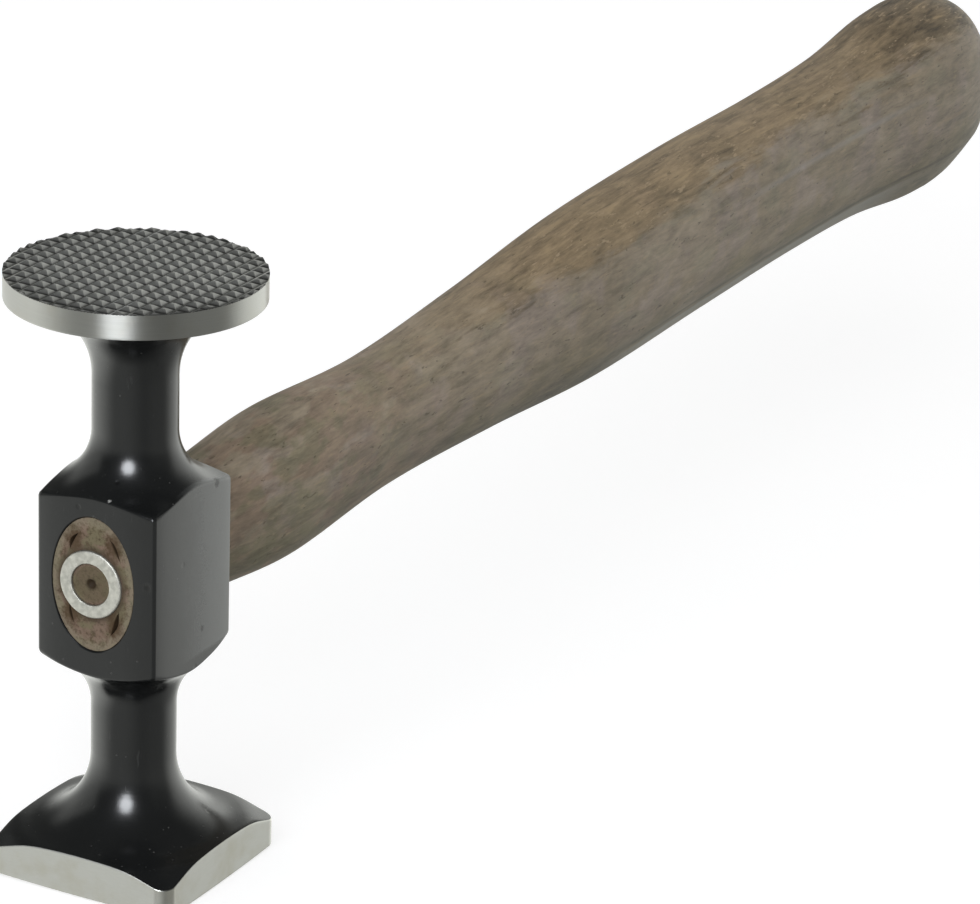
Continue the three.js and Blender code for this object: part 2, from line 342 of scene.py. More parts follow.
def eye_cutter():
    """The eye's solid: oval sections along X, narrowest in the middle and flared at both mouths."""
    count = 120
    angles = 2 * math.pi * np.arange(count) / count
    mouth = block_half[0] + block_crown
    half = np.concatenate([np.linspace(0, mouth - eye_flare, 7), [mouth, mouth + 1.5]])
    stations = np.concatenate([-half[:0:-1], half])
    places = []
    for station in stations:
        scale = eye_scale(min(abs(station), block_half[0]))
        flare = max(abs(station) - mouth + eye_flare, 0)
        across = eye_shift + (eye_half_width * scale + flare) * np.cos(angles)
        up = eye_centre_height + (eye_half_height * scale + flare) * np.sin(angles)
        places.append(np.stack([np.full(count, station), across, up], -1))
    first_end = list(range(count))
    last_end = [point + (len(stations) - 1) * count for point in first_end]
    faces = ring_quads(len(stations), count) + [first_end[::-1], last_end]
    return piece_from("eye", mesh_of("eye", np.concatenate(places), faces))


head = piece_from("forged_head", mesh_of_rows("forged_head", *head_rows()))


def feed(tree, socket, part):
    """Links a value to a socket, or sets a plain number, colour or vector on it."""
    if isinstance(part, Value):
        tree.links.new(part.output, socket)
    else:
        socket.default_value = part


def maths(tree, operation, *parts):
    """Adds a Math node that works on values and plain numbers."""
    node = tree.nodes.new("ShaderNodeMath")
    node.operation = operation
    for socket, part in zip(node.inputs, parts):
        feed(tree, socket, part)
    return Value(tree, node.outputs[0])


class Value:
    """A node's output that adds Math nodes to its tree when it is used in arithmetic."""

    def __init__(self, tree, output):
        self.tree = tree
        self.output = output

    def maths(self, operation, *others):
        return maths(self.tree, operation, self, *others)

    def __add__(self, other):
        return self.maths("ADD", other)

    def __radd__(self, other):
        return maths(self.tree, "ADD", other, self)

    def __sub__(self, other):
        return self.maths("SUBTRACT", other)

    def __rsub__(self, other):
        return maths(self.tree, "SUBTRACT", other, self)

    def __mul__(self, other):
        return self.maths("MULTIPLY", other)

    def __rmul__(self, other):
        return maths(self.tree, "MULTIPLY", other, self)

    def __truediv__(self, other):
        return self.maths("DIVIDE", other)

    def __rtruediv__(self, other):
        return maths(self.tree, "DIVIDE", other, self)

    def __pow__(self, other):
        return self.maths("POWER", other)

    def __neg__(self):
        return self.maths("MULTIPLY", -1.0)

    def __abs__(self):
        return self.maths("ABSOLUTE")


class Nodes:
    """The nodes of one material, world or geometry tree."""

    def __init__(self, tree):
        self.tree = tree

    def node(self, kind, settings=None, sockets=None, output=0):
        """Adds any node: its settings are set first, and then its sockets by name or number."""
        made = self.tree.nodes.new(kind)
        for name, setting in (settings or {}).items():
            setattr(made, name, setting)
        for name, part in (sockets or {}).items():
            feed(self.tree, made.inputs[name], part)
        return Value(self.tree, made.outputs[output])

    def vector(self, operation, *parts, output=0):
        """Vector Math, whose lengths, distances and dot products come from output 1."""
        return self.node("ShaderNodeVectorMath", {"operation": operation}, dict(enumerate(parts)), output)

    def scaled(self, vector, share):
        """A vector made longer or shorter, or a colour made lighter or darker."""
        return self.node("ShaderNodeVectorMath", {"operation": "SCALE"}, {0: vector, "Scale": share})

    def object_mm(self):
        """The piece's own coordinates in millimetres."""
        return self.scaled(self.node("ShaderNodeTexCoord", output="Object"), METRE)

    def axes(self, vector):
        parts = self.tree.nodes.new("ShaderNodeSeparateXYZ")
        feed(self.tree, parts.inputs[0], vector)
        return [Value(self.tree, output) for output in parts.outputs]

    def joined(self, x, y, z):
        return self.node("ShaderNodeCombineXYZ", None, {"X": x, "Y": y, "Z": z})

    def stretched(self, vector, scale, turn=(0.0, 0.0, 0.0), shift=(0.0, 0.0, 0.0)):
        sockets = {"Vector": vector, "Location": shift, "Rotation": turn, "Scale": scale}
        return self.node("ShaderNodeMapping", None, sockets)

    def noise(self, vector, scale=1.0, detail=3.0, rough=0.5, distortion=0.0):
        sockets = {"Vector": vector, "Scale": scale, "Detail": detail}
        sockets |= {"Roughness": rough, "Distortion": distortion}
        return self.node("ShaderNodeTexNoise", None, sockets)

    def from_spots(self, vector, scale):
        """The distance to the nearest of many scattered spots."""
        sockets = {"Vector": vector, "Scale": scale, "Randomness": 1.0}
        return self.node("ShaderNodeTexVoronoi", {"feature": "F1"}, sockets)

    def step(self, value, start, end):
        """A smooth step from 0 at start to 1 at end, which may be the lower of the two."""
        sockets = {"Value": value, "From Min": start, "From Max": end, "To Min": 0.0, "To Max": 1.0}
        return self.node("ShaderNodeMapRange", {"interpolation_type": "SMOOTHSTEP"}, sockets)

    def between(self, value, rise, full, fall, end):
        """A smooth step up from rise to full, and down again from fall to end."""
        return self.step(value, rise, full) * self.step(value, end, fall)

    def blend(self, factor, first, second):
        """A colour that goes from the first to the second."""
        sockets = {0: factor, 6: colour_of(first), 7: colour_of(second)}
        return self.node("ShaderNodeMix", {"data_type": "RGBA"}, sockets, output=2)

    def layered(self, colour, *layers):
        """Lays colours over one another in turn, each as strongly as its own share."""
        for share, over in layers:
            colour = self.blend(share, colour, over)
        return colour

    def bump(self, height, strength, distance):
        sockets = {"Strength": strength, "Distance": distance, "Height": height}
        return self.node("ShaderNodeBump", None, sockets)


def colour_of(part):
    return part if isinstance(part, Value) else (*part, 1.0)


class Finish(Nodes):
    """A material that is being made on its own Principled shader."""

    def __init__(self, name, **constants):
        self.material = bpy.data.materials.new(name)
        self.material.use_nodes = True
        super().__init__(self.material.node_tree)
        self.feed(**constants)

    def feed(self, **parts):
        shader = self.tree.nodes["Principled BSDF"]
        for name, part in parts.items():
            feed(self.tree, shader.inputs[name.replace("_", " ")], part)
        return self.material


lacquer_black = ((0.0068, 0.0075, 0.0075), (0.0105, 0.011, 0.0112))
pit_black = (0.003, 0.003, 0.003)
dust_grey = (0.10, 0.10, 0.095)
scuff_grey = (0.06, 0.06, 0.057)
rubbed_sheen_grey = (0.145, 0.150, 0.145)
chip_glint_grey = (0.45, 0.45, 0.43)
turned_bare = ((0.33, 0.33, 0.315), (0.42, 0.42, 0.40))
turned_tarnish = (0.34, 0.32, 0.27)
ground_bare = ((0.47, 0.47, 0.445), (0.55, 0.55, 0.52))
ground_tarnish = (0.44, 0.42, 0.35)
knocks = (((6.2, -10.7, 63.3), 0.95), ((2.2, -10.7, 40.7), 0.65), ((-11.3, -9.2, 51.8), 0.95))
chip_glint_place = (-11.1, -2.4, 64.4)


def make_lacquer():
    """Glossy black stoving lacquer over turned and forged steel: faint turning rings, pits, dust and scuffs."""
    lacquer = Finish("black_lacquer", Metallic=0.0, IOR=1.5, Specular_IOR_Level=0.5)
    place = lacquer.object_mm()
    across, along, up = lacquer.axes(place)
    smudge = lacquer.noise(place, 0.12, 3.0, 0.55)
    fine = lacquer.noise(place, 6.0, 3.0, 0.6)
    swell = lacquer.noise(place, 0.6, 2.0, 0.5)

    # Turning rings show through on the necks and on the back of the square face
    reach = (across**2 + along**2) ** 0.5
    rings = lacquer.noise(lacquer.joined(reach * 1.3, up * 1.3, smudge * 1.5), 1.0, 3.0, 0.6)

    # Sparse dust and short scuffs lie on the lacquer, and a few forging pits lie under it
    dust = lacquer.step(lacquer.from_spots(place, 0.42), 0.075, 0.035)
    scuff_place = lacquer.stretched(place, (0.9, 0.9, 0.16), (0.5, 0.35, 0.2))
    scuffs = lacquer.step(lacquer.noise(scuff_place, 1.0, 3.0, 0.65), 0.65, 0.75)
    pit = lacquer.step(lacquer.from_spots(place, 0.15), 0.085, 0.05)

    # The right side of the block is painted a lighter grey as a reflection, more so away from its near corner,
    # with some rubbing
    on_block = lacquer.step(up, 36.0, 37.5) - lacquer.step(up, 64.5, 66.0)
    rubbed_sheen = lacquer.step(along, -9.9, -10.4) * lacquer.step(on_block, 0.1, 0.9)
    rubbed_sheen = rubbed_sheen * lacquer.step(across + smudge * 6.0, -3.0, 11.0) * (0.6 + 0.8 * fine)

    # Three knocks on the block, and one chip at its upper edge, painted bright as a glint
    knocked = 0.0
    for spot, size in knocks:
        away = lacquer.vector("DISTANCE", place, spot, output=1)
        knocked = knocked + lacquer.step(away + (fine - 0.5) * 1.2, size, size * 0.35)
    away = lacquer.vector("DISTANCE", place, chip_glint_place, output=1)
    chip_glint = lacquer.step(away + (fine - 0.5) * 0.8, 0.36, 0.16)

    colour = lacquer.layered(
        lacquer.blend(smudge, *lacquer_black),
        (dust * 0.5, dust_grey),
        (scuffs * 0.25, scuff_grey),
        (pit * 0.8, pit_black),
        (rubbed_sheen * 0.75, rubbed_sheen_grey),
        (knocked * 0.9, pit_black),
        (chip_glint * 0.8, chip_glint_grey),
    )
    rough = 0.155 + 0.06 * smudge + 0.06 * fine + 0.12 * scuffs + 0.1 * rubbed_sheen
    height = swell * 0.35 + rings * 0.35 + fine * 0.06 + dust * 0.1 - pit * 0.9 - knocked * 1.5
    return lacquer.feed(Base_Color=colour, Roughness=rough, Normal=lacquer.bump(height, 0.3, 0.0001))


def make_turned_steel():
    """Bare steel with the fine marks of turning, which run round the head's axis."""
    steel = Finish(
        "turned_steel", Metallic=1.0, Anisotropic=0.98, Anisotropic_Rotation=0.25, Specular_IOR_Level=0.5
    )
    place = steel.object_mm()
    marks = steel.noise(steel.stretched(place, (0.10, 0.10, 7.0)), 1.0, 4.0, 0.65)
    patches = steel.noise(place, 0.25, 3.0, 0.5)
    grains = steel.noise(place, 3.5, 3.0, 0.6)
    colour = steel.blend(marks, *turned_bare)
    colour = steel.blend(steel.step(patches, 0.45, 0.75) * 0.3, colour, turned_tarnish)
    rough = 0.29 + 0.05 * marks + 0.03 * grains
    normal = steel.bump(marks + grains * 0.25, 0.25, 0.00006)
    return steel.feed(Base_Color=colour, Roughness=rough, Normal=normal)


def make_ground_steel():
    """Bare steel ground flat on a belt, with short crossed scratches and a few dull patches."""
    steel = Finish("ground_steel", Metallic=1.0, Specular_IOR_Level=0.5)
    place = steel.object_mm()
    scratches = steel.noise(steel.stretched(place, (0.5, 0.5, 5.0), (0.12, 0.1, 0.0)), 1.0, 4.0, 0.65)
    patches = steel.noise(place, 0.22, 4.0, 0.55)
    grains = steel.noise(place, 3.0, 3.0, 0.6)
    colour = steel.blend(scratches, *ground_bare)
    colour = steel.blend(steel.step(patches, 0.42, 0.72) * 0.5, colour, ground_tarnish)
    # The rounded corners are smoother than the flats, so they mirror the lights in narrow strips
    across, along, _ = steel.axes(place)
    corner = steel.step(abs(across) + abs(along), 30.3, 30.9)
    rough = 0.44 + 0.08 * scratches + 0.06 * patches - 0.26 * corner
    normal = steel.bump(scratches + grains * 0.4, 0.35 - 0.3 * corner, 0.00008)
    return steel.feed(Base_Color=colour, Roughness=rough, Normal=normal)


for finish in (make_lacquer(), make_turned_steel(), make_ground_steel()):
    head.data.materials.append(finish)
cut_away(head, eye_cutter())


# The teeth of the round face: square pyramids left standing between two crossed sets of milled V grooves.
# Their tips are worn bright and their hips are painted bright as a highlight, their grooves are darkened as
# painted shade, and the rim cuts the outer ones through.
tooth_pitch = 2.37
tooth_flank = 0.95
tooth_bury = 0.05
tooth_parting = 0.01
tooth_rows = 18
tooth_unevenness = 0.08
tooth_edge_wear = 0.42
tooth_seed = 7
worn_tip_and_highlight = ((0.54, 0.54, 0.52), (0.76, 0.76, 0.74))
flank_steel = ((0.44, 0.44, 0.425), (0.60, 0.60, 0.58))
groove_shade_dark = (0.06, 0.06, 0.058)
rim_dark = (0.05, 0.05, 0.05)


def make_tooth_steel():
    teeth = Finish("toothed_steel", Metallic=1.0, Specular_IOR_Level=0.5)
    place = teeth.object_mm()
    across, along, up = teeth.axes(place)
    wear = teeth.noise(place, 0.9, 4.0, 0.6)
    grain = teeth.noise(place, 5.0, 2.0, 0.6)
    # Across each tooth from 0 in its middle to 1 in the grooves, along both sets of grooves
    cell_x, cell_y = (abs((way / tooth_pitch).maths("FRACT") - 0.5) * 2.0 for way in (across, along))
    tip = teeth.step(up + wear * 0.09, head_height - 0.29, head_height - 0.03)
    # Painted highlight: the hips between the flanks take the worn tips' bright colour
    hip_highlight = teeth.step(abs(cell_x - cell_y), 0.30, 0.04) * 0.4
    # Painted shade: the grooves darken towards their bottoms
    groove_shade = teeth.step(up, head_height - 0.36, head_height - 0.63)
    cut = teeth.step((across**2 + along**2) ** 0.5, round_face_radius - 0.15, round_face_radius - 0.02)
    colour = teeth.layered(
        teeth.blend(grain, *flank_steel),
        (tip.maths("MAXIMUM", hip_highlight), teeth.blend(wear, *worn_tip_and_highlight)),
        (groove_shade * 0.85, groove_shade_dark),
        (cut * 0.7, rim_dark),
    )
    normal = teeth.bump(grain, 0.35, 0.0001)
    return teeth.feed(Base_Color=colour, Roughness=0.38 + 0.15 * grain, Normal=normal)


class Growth(Nodes):
    """A geometry tree that is being made. Its named inputs are numbers, or a mesh where the value is None."""

    def __init__(self, name, inputs):
        super().__init__(bpy.data.node_groups.new(name, "GeometryNodeTree"))
        kinds = {type(None): "NodeSocketGeometry", float: "NodeSocketFloat", int: "NodeSocketInt"}
        for label, value in inputs.items():
            kind = kinds[type(value)]
            socket = self.tree.interface.new_socket(label, in_out="INPUT", socket_type=kind)
            if value is not None:
                socket.default_value = value
        given = self.tree.nodes.new("NodeGroupInput")
        self.asked = {socket.name: Value(self.tree, socket) for socket in given.outputs if socket.name}

    def ended(self, shape, material):
        """Ends the tree, whose only output is one real mesh in its material."""
        real = self.node("GeometryNodeRealizeInstances", None, {"Geometry": shape})
        coated = self.node("GeometryNodeSetMaterial", None, {"Geometry": real, "Material": material})
        self.tree.interface.new_socket("Mesh", in_out="OUTPUT", socket_type="NodeSocketGeometry")
        feed(self.tree, self.tree.nodes.new("NodeGroupOutput").inputs[0], coated)
        return self.tree


def grown(name, tree, inputs, sections=None):
    """A piece whose mesh a geometry tree makes, with the tree's named inputs set by their identifiers."""
    piece = piece_from(name, sections or bpy.data.meshes.new(name))
    grow = piece.modifiers.new("grow", "NODES")
    grow.node_group = tree
    sockets = [socket for socket in tree.interface.items_tree if socket.in_out == "INPUT"]
    named = {socket.name: socket.identifier for socket in sockets}
    for key, value in inputs.items():
        grow[named[key]] = value
    plain_mesh(piece)
    return piece


def milled_teeth_tree(material):
    """A lattice of four-sided frustums over the round face, cut through by its rim."""
    nodes = Growth(
        "milled_teeth",
        {
            "Pitch": tooth_pitch / METRE,
            "Depth": tooth_depth / METRE,
            "Flank": tooth_flank / METRE,
            "Bury": tooth_bury / METRE,
            "Parting": tooth_parting / METRE,
            "Face Radius": round_face_radius / METRE,
            "Face Height": head_height / METRE,
            "Rows": tooth_rows,
            "Unevenness": tooth_unevenness,
            "Edge Wear": tooth_edge_wear,
        },
    )
    asked = nodes.asked
    pitch, depth, flank, bury = (asked[name] for name in ("Pitch", "Depth", "Flank", "Bury"))
    rows, radius, height = (asked[name] for name in ("Rows", "Face Radius", "Face Height"))

    # A lattice of places that covers the face, without those that lie wholly outside it
    span = pitch * (rows - 1)
    lattice_size = {"Size X": span, "Size Y": span, "Vertices X": rows, "Vertices Y": rows}
    lattice = nodes.node("GeometryNodeMeshGrid", None, lattice_size)
    from_middle = nodes.vector("LENGTH", nodes.node("GeometryNodeInputPosition"), output=1)
    outside = nodes.node(
        "FunctionNodeCompare",
        {"data_type": "FLOAT", "operation": "GREATER_THAN"},
        {0: from_middle, 1: radius + pitch * 0.7},
    )
    kept = nodes.node(
        "GeometryNodeDeleteGeometry", {"domain": "POINT"}, {"Geometry": lattice, "Selection": outside}
    )

    # One tooth: a four-sided frustum, buried a little in the head and a hair apart from its neighbours, and
    # turned so that its sides lie along the grooves
    half_diagonal = math.sqrt(0.5)
    tooth = nodes.node(
        "GeometryNodeMeshCone",
        {"fill_type": "NGON"},
        {
            "Vertices": 4,
            "Side Segments": 1,
            "Radius Top": (pitch - flank * 2.0) * half_diagonal,
            "Radius Bottom": (pitch - asked["Parting"]) * half_diagonal,
            "Depth": depth + bury,
        },
    )
    eighth_turn = (0.0, 0.0, math.pi / 4)
    tooth = nodes.node("GeometryNodeTransform", None, {"Geometry": tooth, "Rotation": eighth_turn})

    # The teeth vary a little in height, and those near the rim are worn lower
    lowest = 1.0 - asked["Unevenness"]
    height_share = nodes.node(
        "FunctionNodeRandomValue", {"data_type": "FLOAT"}, {2: lowest, 3: 1.0, "Seed": tooth_seed}, output=1
    )
    at_rim = ((from_middle / radius) ** 8.0).maths("MINIMUM", 1.0)
    scale = nodes.joined(1.0, 1.0, height_share - asked["Edge Wear"] * at_rim)
    placed = nodes.node(
        "GeometryNodeInstanceOnPoints", None, {"Points": kept, "Instance": tooth, "Scale": scale}
    )
    lift = nodes.joined(0.0, 0.0, height - depth - bury)
    lifted = nodes.node("GeometryNodeTransform", None, {"Geometry": placed, "Translation": lift})
    lattice_of_teeth = nodes.node("GeometryNodeRealizeInstances", None, {"Geometry": lifted})

    # The rim cuts the outer teeth through
    barrel_size = {"Vertices": 256, "Radius": radius, "Depth": depth * 6.0}
    barrel = nodes.node("GeometryNodeMeshCylinder", {"fill_type": "NGON"}, barrel_size)
    barrel = nodes.node(
        "GeometryNodeTransform", None, {"Geometry": barrel, "Translation": nodes.joined(0.0, 0.0, height)}
    )
    exact = {"operation": "INTERSECT", "solver": "EXACT"}
    trimmed = nodes.node("GeometryNodeMeshBoolean", exact, {"Mesh 2": lattice_of_teeth})
    feed(nodes.tree, trimmed.output.node.inputs["Mesh 2"], barrel)
    return nodes.ended(trimmed, material)


tooth_inputs = {"Pitch": tooth_pitch / METRE, "Rows": tooth_rows}
teeth = grown("face_teeth", milled_teeth_tree(make_tooth_steel()), tooth_inputs)
smooth_with_edges(head, math.radians(32))
for part in (head, teeth):
    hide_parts("head")
    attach(part, "root")


# The ring wedge: a short tapered steel tube, turned, and driven into the end grain to spread the tenon.
# Its struck end stands just proud of the block, dull from the hammer blows that drove it in.
ring_outer = 5.45
ring_outer_end = 4.95
ring_bore = 3.35
ring_length = 15.0
ring_proud = 0.5
ring_edges = (0.35, 0.15, 0.1, 0.2)
ring_across = 0.7
ring_up = eye_centre_height
ring_front = -block_half[0] - ring_proud
ring_back = ring_front + ring_length
ring_facets = 96
ring_dull = ((0.44, 0.435, 0.395), (0.61, 0.60, 0.55))


def make_wedge_steel():
    steel = Finish("dull_steel", Metallic=1.0, Specular_IOR_Level=0.5)
    place = steel.object_mm()
    dents = steel.noise(place, 1.1, 4.0, 0.6)
    grain = steel.noise(place, 6.0, 3.0, 0.6)
    colour = steel.blend(steel.step(dents, 0.30, 0.70), *ring_dull)
    normal = steel.bump(dents * 0.8 + grain * 0.3, 0.7, 0.00018)
    return steel.feed(Base_Color=colour, Roughness=0.48 + 0.12 * grain, Normal=normal)


def ring_profile():
    """Closed outline of the tube's wall in (distance from its axis, place along it), its corners rounded."""
    points = []
    corners = (
        ((ring_outer, ring_front), (-1, 0), (0, 1)),
        ((ring_outer_end, ring_back), (0, -1), (-1, 0)),
        ((ring_bore, ring_back), (1, 0), (0, -1)),
        ((ring_bore, ring_front), (0, 1), (1, 0)),
    )
    for (corner, before, after), rounding in zip(corners, ring_edges):
        first = np.array(corner) + rounding * np.array(before)
        last = np.array(corner) + rounding * np.array(after)
        for share in np.linspace(0, 1, 5):
            middle = 2 * share * (1 - share) * np.array(corner)
            points.append((1 - share) ** 2 * first + middle + share**2 * last)
    return points


def turned_piece(name, profile, facets):
    """A closed profile turned about the ring's axis, which lies along X."""
    angles = 2 * math.pi * np.arange(facets) / facets
    reach, place = (np.array([point[i] for point in profile])[:, None] for i in (0, 1))
    places = np.empty((len(profile), facets, 3))
    places[..., 0] = place
    places[..., 1] = ring_across + reach * np.cos(angles)
    places[..., 2] = ring_up + reach * np.sin(angles)
    mesh = mesh_of(name, places, ring_quads(len(profile), facets, closed=True))
    return piece_from(name, mended(mesh, merge=0.001, outward=True))


ring = turned_piece("wedge_ring", ring_profile(), ring_facets)
ring.data.materials.append(make_wedge_steel())
smooth_with_edges(ring, math.radians(40))
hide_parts("ring_wedge")
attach(ring, "root")


# The handle: one piece of hickory, shaved to an oval with flatter sides and with two soft ridges along each.
# It is stained grey brown and lacquered satin, and its tenon fills the eye, where the ring spreads it.
grip_places = (11.1, 22.08, 40.0, 72.0, 107.77, 145.0, 188.0, 228.0, 257.76, 280.08, 290.0)
grip_heights = (21.3, 23.41, 25.7, 23.0, 26.12, 31.2, 32.2, 32.2, 33.98, 38.71, 39.6)
grip_rises = (0, 0, 0, 0, 0.37, 0.75, 1.5, 1.5, 1.5, 1.5, 1.5)
grip_width_share = 0.65
grip_roundness = 2.3
ellipse = 2.0
seat_length = 4.0
seat_fullness = 0.012
ridges_start, ridges_full = 112.0, 150.0
ridge_height, ridge_foot = -0.53, -0.90
butt_place = 320.0
butt_roundness = 2.28
butt_drop = 4.3
butt_end_turn = math.pi / 2 - 0.004
tenon_gap = 0.1
tenon_face = -11.2
handle_facets = 96
grip_stations = 150
tenon_stations = 9
butt_stations = 34
section_names = ("place", "shift", "rise", "half_height", "half_width", "roundness", "ridges")


def batten_through(places, values, wanted):
    """Values along the curve that a bent batten takes through points with centripetal spacing."""
    points = np.stack([places, values], -1).astype(float)
    ends = [2 * points[0] - points[1], 2 * points[-1] - points[-2]]
    points = np.concatenate([[ends[0]], points, [ends[1]]])
    found = []
    for i in range(1, len(points) - 2):
        before, first, second, after = points[i - 1 : i + 3]
        spans = ((before, first), (first, second), (second, after))
        a, b, c = (max(np.linalg.norm(q - p) ** 0.5, 1e-6) for p, q in spans)
        slope_in = (first - before) / a - (second - before) / (a + b) + (second - first) / b
        slope_out = (second - first) / b - (after - first) / (b + c) + (after - second) / c
        share = np.linspace(0, 1, 25)[:-1, None]
        found.append(
            (2 * share**3 - 3 * share**2 + 1) * first
            + (share**3 - 2 * share**2 + share) * (slope_in * b)
            + (3 * share**2 - 2 * share**3) * second
            + (share**3 - share**2) * (slope_out * b)
        )
    found = np.concatenate(found + [points[-2:-1]])
    return np.interp(wanted, found[:, 0], found[:, 1])


def eased(value, start, end):
    share = np.clip((value - start) / (end - start), 0, 1)
    return share**2 * (3 - 2 * share)


def handle_stations():
    """One column for each section, with rows in the order of section_names."""
    places = np.linspace(tenon_face, block_half[0], tenon_stations)
    scale = eye_scale(places)
    tenon = [
        places,
        np.full(tenon_stations, eye_shift),
        np.full(tenon_stations, eye_centre_height),
        eye_half_height * scale - tenon_gap,
        eye_half_width * scale - tenon_gap,
        np.full(tenon_stations, ellipse),
        np.zeros(tenon_stations),
    ]
    places = np.linspace(grip_places[0], grip_places[-1], grip_stations + 1)[1:]
    flattening = eased(places, grip_places[0], grip_places[2])
    half = batten_through(grip_places, grip_heights, places) / 2
    seated = 1 - eased(places, grip_places[0], grip_places[0] + seat_length)
    grip = [
        places,
        eye_shift * (1 - flattening),
        eye_centre_height + batten_through(grip_places, grip_rises, places),
        half,
        half * (grip_width_share + seat_fullness * seated),
        ellipse + (grip_roundness - ellipse) * flattening,
        eased(places, ridges_start, ridges_full),
    ]
    turn = np.linspace(0, math.pi / 2, butt_stations + 1)[1:]
    turn[-1] = butt_end_turn
    left = np.cos(turn) ** (2 / butt_roundness)
    butt = [
        grip_places[-1] + (butt_place - grip_places[-1]) * np.sin(turn) ** (2 / butt_roundness),
        np.zeros(butt_stations),
        eye_centre_height + grip_rises[-1] - butt_drop * np.sin(turn) ** 2,
        grip_heights[-1] / 2 * left,
        grip_heights[-1] / 2 * left * grip_width_share,
        np.full(butt_stations, grip_roundness),
        np.cos(turn) ** 1.5,
    ]
    return np.concatenate([np.array(tenon), np.array(grip), np.array(butt)], axis=1)


def sections_mesh():
    """A row of points, one for each section, that carry the section's sizes as attributes."""
    stations = handle_stations()
    mesh = bpy.data.meshes.new("hickory_handle")
    mesh.from_pydata([(0.001 * i, 0, 0) for i in range(stations.shape[1])], [], [])
    for name, values in zip(section_names, stations):
        mesh.attributes.new(name, "FLOAT", "POINT").data.foreach_set("value", values.astype(np.float32))
    return mesh


def shaved_tree(material):
    """Lofts a skin through the sections whose sizes the points of the piece's own mesh carry."""
    nodes = Growth(
        "shaved_handle",
        {"Sections": None, "Facets": handle_facets, "Ridge Height": ridge_height, "Ridge Foot": ridge_foot},
    )
    sections, facets, ridge, foot = nodes.asked.values()
    count = nodes.node("GeometryNodeAttributeDomainSize", {"component": "MESH"}, {0: sections})
    skin = nodes.node(
        "GeometryNodeMeshCylinder",
        {"fill_type": "TRIANGLE_FAN"},
        {"Vertices": facets, "Side Segments": count - 1, "Radius": 1.0, "Depth": count - 1},
    )
    x, y, z = nodes.axes(nodes.node("GeometryNodeInputPosition"))
    row = (z + (count - 1) / 2).maths("ROUND")
    size = {}
    for name in section_names:
        carried = nodes.node("GeometryNodeInputNamedAttribute", {"data_type": "FLOAT"}, {"Name": name})
        size[name] = nodes.node(
            "GeometryNodeSampleIndex",
            {"data_type": "FLOAT", "domain": "POINT"},
            {"Geometry": sections, "Value": carried, "Index": row},
        )
    roundness = size["roundness"]

    # Each section is a superellipse, and the two fans that close the ends meet in its middle
    off_middle = (x**2 + y**2).maths("SQRT").maths("GREATER_THAN", 0.5)
    turned = y.maths("ARCTAN2", x)
    cosine, sine = turned.maths("COSINE"), turned.maths("SINE")
    across, up = (way.maths("SIGN") * abs(way) ** (2 / roundness) for way in (cosine, sine))

    # The lower flat: a chord between the ridge and a point near the keel, on both sides
    at_ridge, at_foot = ((1 - (-level) ** roundness) ** (1 / roundness) for level in (ridge, foot))
    chord = at_foot + (at_ridge - at_foot) * ((up - foot) / (ridge - foot))
    in_band = up.maths("GREATER_THAN", foot) * up.maths("LESS_THAN", ridge)
    reach = abs(across)
    across = across.maths("SIGN") * (reach + (chord - reach) * in_band * size["ridges"])
    placed = nodes.joined(
        size["place"],
        size["shift"] + size["half_width"] * across * off_middle,
        size["rise"] + size["half_height"] * up * off_middle,
    )
    shaped = nodes.node(
        "GeometryNodeSetPosition", None, {"Geometry": skin, "Position": nodes.scaled(placed, 1 / METRE)}
    )
    smooth = nodes.node("GeometryNodeSetShadeSmooth", None, {"Geometry": shaped})
    return nodes.ended(smooth, material)


brown_stain, pale_stain, violet_stain = (0.222, 0.181, 0.126), (0.256, 0.211, 0.155), (0.250, 0.205, 0.168)
olive_stain, low_olive_and_shade, green_stain = (0.220, 0.197, 0.136), (0.150, 0.131, 0.082), (0.160, 0.147, 0.086)
russet_stain, golden_stain = (0.194, 0.132, 0.091), (0.255, 0.185, 0.103)
dark_streak, light_streak, pale_fleck = (0.095, 0.068, 0.042), (0.360, 0.265, 0.145), (0.385, 0.290, 0.180)
open_pore, ridge_line_dark = (0.045, 0.034, 0.022), (0.055, 0.045, 0.032)
strip_reflection_grey, faint_ridge_highlight = (0.42, 0.41, 0.375), (0.330, 0.320, 0.310)
end_olive, end_russet, end_rim_highlight = (0.165, 0.140, 0.082), (0.200, 0.138, 0.100), (0.250, 0.215, 0.150)
end_dark, end_dots, end_core = (0.080, 0.054, 0.030), (0.060, 0.042, 0.025), (0.118, 0.094, 0.054)
dark_round_ring, centre_painted_shade = (0.060, 0.042, 0.026), (0.030, 0.022, 0.008)
split_stain, split_painted_shade = (0.070, 0.042, 0.020), (0.036, 0.021, 0.009)
split_stains = ((3.7, 57.0), (-3.3, 57.0), (4.2, 44.8), (-3.5, 44.4))


